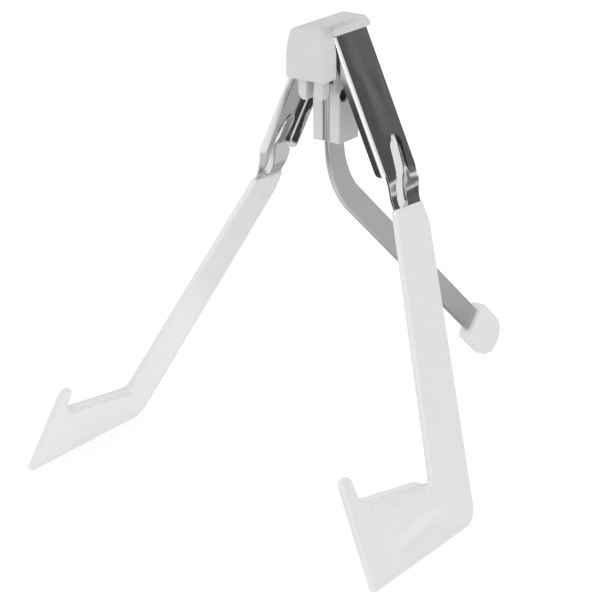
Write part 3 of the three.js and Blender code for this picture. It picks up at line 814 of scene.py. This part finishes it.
def moulded_plastic():
    """White moulding: satin, with a fine tool grain."""
    material, nodes, links, shader = new_finish("moulded_plastic")
    tone = nodes.new("ShaderNodeMix")
    tone.data_type = "RGBA"
    tone.inputs["A"].default_value = (0.61, 0.61, 0.605, 1)
    tone.inputs["B"].default_value = (0.64, 0.64, 0.635, 1)
    links.new(noise_field(nodes, links, 60, 3), tone.inputs["Factor"])
    links.new(tone.outputs["Result"], shader.inputs["Base Color"])
    shader.inputs["Specular IOR Level"].default_value = 0.35
    sheen = to_range(nodes, links, noise_field(nodes, links, 300, 3), 0.42, 0.55)
    links.new(sheen, shader.inputs["Roughness"])
    bumps(nodes, links, shader, noise_field(nodes, links, 1600, 2), 0.00002)
    return material


plastic = moulded_plastic()
cap = hood_and_roof("hood_and_roof")
cap.data.materials.append(plastic)
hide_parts("head_cap")
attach(cap, "head")

# ------------------------------------------------------------- hinge block
# The block that the cap sits on, in the same white plastic: the front legs
# turn on its sides, and the rear leg swings in the slot between its cheeks.
BLOCK_ROUND = 0.0004


def block_moulding(name):
    """The frame's own block, its flats made whole and its edges rounded."""
    block = bmesh.new()
    block.from_mesh(frame["nodes"]["hinge_block"].data)
    bmesh.ops.remove_doubles(block, verts=block.verts, dist=1e-5)
    bmesh.ops.dissolve_limit(
        block, angle_limit=math.radians(3), verts=block.verts, edges=block.edges,
    )
    made = finish_mesh(block, name)
    soften(made, BLOCK_ROUND, 3)
    return made


block = block_moulding("block_moulding")
block.data.materials.clear()
block.data.materials.append(plastic)
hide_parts("hinge_block")
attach(block, "head")

# --------------------------------------------------------------- fasteners
# Turned steel pins with riveted heads and push-on clips, nylon washers and
# spacers, and the blackened bolt and nut that the rear leg swings on.
WASHER_HOLE = 0.0018
SPACER_HOLE = 0.0022
CLIP_HOLE = 0.0017
PIN_SHANK = 0.0016
PIN_HEAD_HIGH = 0.0013
PIN_HEAD_ROUND = 0.0008
BOLT_HEAD_HIGH = 0.0022
BOLT_HEAD_TAPER = 0.0004
BOLT_SHANK = 0.002
SOCKET_HALF = 0.0022
SOCKET_DEEP = 0.0013
NUT_RIM = 0.0012
NUT_DISH = 0.0005
TURNED_EDGE = 0.00015


def turned(name, profile, axis, centre, steps=48):
    """Spins a half profile of (along, radius) points about an axis through centre."""
    piece = bmesh.new()
    points = [piece.verts.new((0, radius, along)) for along, radius in profile]
    edges = [piece.edges.new(pair) for pair in zip(points, points[1:] + points[:1])]
    bmesh.ops.spin(
        piece, geom=points + edges, cent=(0, 0, 0), axis=(0, 0, 1), dvec=(0, 0, 0),
        angle=2 * math.pi, steps=steps, use_merge=True,
    )
    bmesh.ops.remove_doubles(piece, verts=piece.verts, dist=1e-7)
    bmesh.ops.recalc_face_normals(piece, faces=piece.faces)
    turn = Vector(axis).to_track_quat("Z", "Y").to_matrix().to_4x4()
    bmesh.ops.transform(piece, matrix=Matrix.Translation(centre) @ turn, verts=piece.verts)
    made = finish_mesh(piece, name)
    soften(made, TURNED_EDGE, 2)
    return made


def box_ring(node, hole):
    """Ring of a washer's, spacer's or clip's own size, turned about its box's short side."""
    low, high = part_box(node)
    size = high - low
    thin = min(range(3), key=lambda i: size[i])
    axis = [0, 0, 0]
    axis[thin] = 1
    radius = sorted(size)[1] / 2
    half = size[thin] / 2
    profile = [(-half, hole), (-half, radius), (half, radius), (half, hole)]
    return profile, axis, (low + high) / 2


def plain_finish(name, tint, metallic, rough_low, rough_high):
    """One turned part's finish, a little uneven from handling."""
    material, nodes, links, shader = new_finish(name)
    shader.inputs["Base Color"].default_value = (*tint, 1)
    shader.inputs["Metallic"].default_value = metallic
    field = noise_field(nodes, links, 350, 3)
    links.new(to_range(nodes, links, field, rough_low, rough_high), shader.inputs["Roughness"])
    bumps(nodes, links, shader, field, 0.00002)
    return material


nylon = plain_finish("nylon_natural", (0.70, 0.70, 0.68), 0, 0.4, 0.5)
black = plain_finish("black_oxide", (0.018, 0.018, 0.02), 0.6, 0.35, 0.5)
rings = []
for kind in ("front_hinge_washer", "back_hinge_washer"):
    rings += [(f"{kind}_{side}", WASHER_HOLE, nylon, "nylon") for side in ("left", "right")]
rings += [(f"rear_pivot_spacer_{side}", SPACER_HOLE, nylon, "nylon") for side in ("left", "right")]
rings += [(f"hinge_pin_clip_{side}", CLIP_HOLE, satin, "satin_steel") for side in ("left", "right")]
for node, hole, material, slot in rings:
    ring = turned(f"turned_{node}", *box_ring(node, hole))
    ring.data.materials.append(material)
    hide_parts(node)
    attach(ring, "head")

for side in ("left", "right"):
    low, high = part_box(f"hinge_pin_{side}")
    centre = (low + high) / 2
    back = (high.y - low.y) / 2
    head = (high.x - low.x) / 2
    profile = [
        (-back, 0), (-back, head - PIN_HEAD_ROUND), (-back + 0.0005, head),
        (-back + PIN_HEAD_HIGH, head), (-back + PIN_HEAD_HIGH, PIN_SHANK),
        (back - 0.0004, PIN_SHANK), (back, PIN_SHANK - 0.0004), (back, 0),
    ]
    pin = turned(f"turned_hinge_pin_{side}", profile, (0, 1, 0), centre)
    pin.data.materials.append(satin)
    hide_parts(f"hinge_pin_{side}")
    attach(pin, "head")


def socket_bolt(name):
    """Round-head bolt along X, its head to the right with a round socket."""
    low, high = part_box("rear_pivot_bolt")
    head = (high.y - low.y) / 2
    head_from = high.x - BOLT_HEAD_HIGH
    bolt = bmesh.new()
    bmesh.ops.create_cone(
        bolt, cap_ends=True, segments=48, radius1=head, radius2=head - BOLT_HEAD_TAPER,
        depth=BOLT_HEAD_HIGH, matrix=Matrix.Translation((0, 0, BOLT_HEAD_HIGH / 2)),
    )
    top = max(bolt.faces, key=lambda face: face.calc_center_median().z)
    bmesh.ops.inset_region(bolt, faces=[top], thickness=head - SOCKET_HALF, depth=0)
    bmesh.ops.translate(bolt, vec=(0, 0, -SOCKET_DEEP), verts=top.verts)
    floor = min(bolt.faces, key=lambda face: face.calc_center_median().z)
    bmesh.ops.inset_region(bolt, faces=[floor], thickness=head - BOLT_SHANK, depth=0)
    grown = bmesh.ops.extrude_face_region(bolt, geom=[floor])
    drawn = only(BMVert, grown["geom"])
    bmesh.ops.translate(bolt, vec=(0, 0, low.x - head_from), verts=drawn)
    bmesh.ops.recalc_face_normals(bolt, faces=bolt.faces)
    turn = Matrix.Rotation(math.pi / 2, 4, "Y")
    place = Matrix.Translation((head_from, (low.y + high.y) / 2, (low.z + high.z) / 2))
    bmesh.ops.transform(bolt, matrix=place @ turn, verts=bolt.verts)
    made = finish_mesh(bolt, name)
    soften(made, CUT_EDGE, 2)
    return made


bolt = socket_bolt("socket_bolt")
bolt.data.materials.append(black)
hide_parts("rear_pivot_bolt")
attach(bolt, "head")


def hex_nut(name):
    """Six-sided nut along X, both faces dished inside a narrow rim."""
    low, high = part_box("rear_pivot_nut")
    nut = bmesh.new()
    radius = min((high.y - low.y) / 2 / math.cos(math.pi / 6), (high.z - low.z) / 2)
    bmesh.ops.create_cone(
        nut, cap_ends=True, segments=6, radius1=radius, radius2=radius, depth=high.x - low.x,
    )
    for face in sorted(nut.faces, key=lambda face: abs(face.normal.z))[-2:]:
        bmesh.ops.inset_region(nut, faces=[face], thickness=NUT_RIM, depth=0)
        bmesh.ops.translate(nut, vec=face.normal * -NUT_DISH, verts=face.verts)
    bmesh.ops.recalc_face_normals(nut, faces=nut.faces)
    turn = Matrix.Rotation(math.pi / 2, 4, "Y")
    bmesh.ops.transform(nut, matrix=Matrix.Translation((low + high) / 2) @ turn, verts=nut.verts)
    made = finish_mesh(nut, name)
    soften(made, CUT_EDGE, 2)
    return made


nut = hex_nut("hex_nut")
nut.data.materials.append(black)
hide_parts("rear_pivot_nut")
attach(nut, "head")
